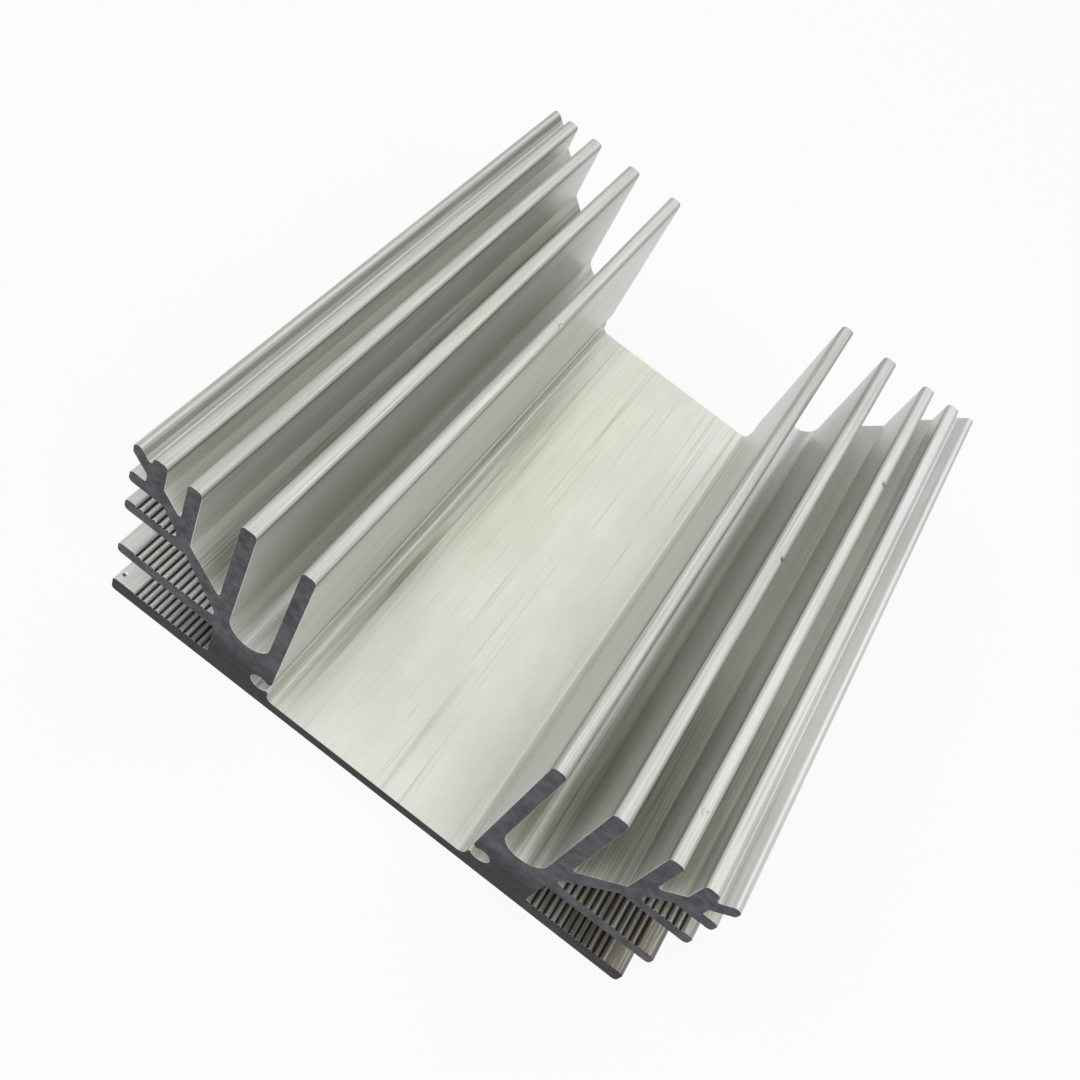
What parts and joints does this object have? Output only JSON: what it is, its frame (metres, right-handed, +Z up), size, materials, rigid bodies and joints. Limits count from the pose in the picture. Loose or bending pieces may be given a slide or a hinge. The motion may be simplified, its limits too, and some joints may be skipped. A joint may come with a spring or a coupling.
{
  "type": "extruded heat sink",
  "caption": "Extruded aluminium heat sink: flat-based channel for a power device between two branching fin trees, with serrated side fins and open screw ports along its length.",
  "frame": {"origin": "centre of the rectangle that the part covers on the surface it stands on, at the flat underside", "axes": "+X across the section, +Y along the extrusion away from the cut end in view, +Z up from the underside to the fin tips"},
  "size_m": [0.1206, 0.1396, 0.0476],
  "materials": {
    "mill_aluminium": "satin"
  },
  "bodies": {
    "root": {"heat_sink": "mill_aluminium"}
  },
  "joints": []
}
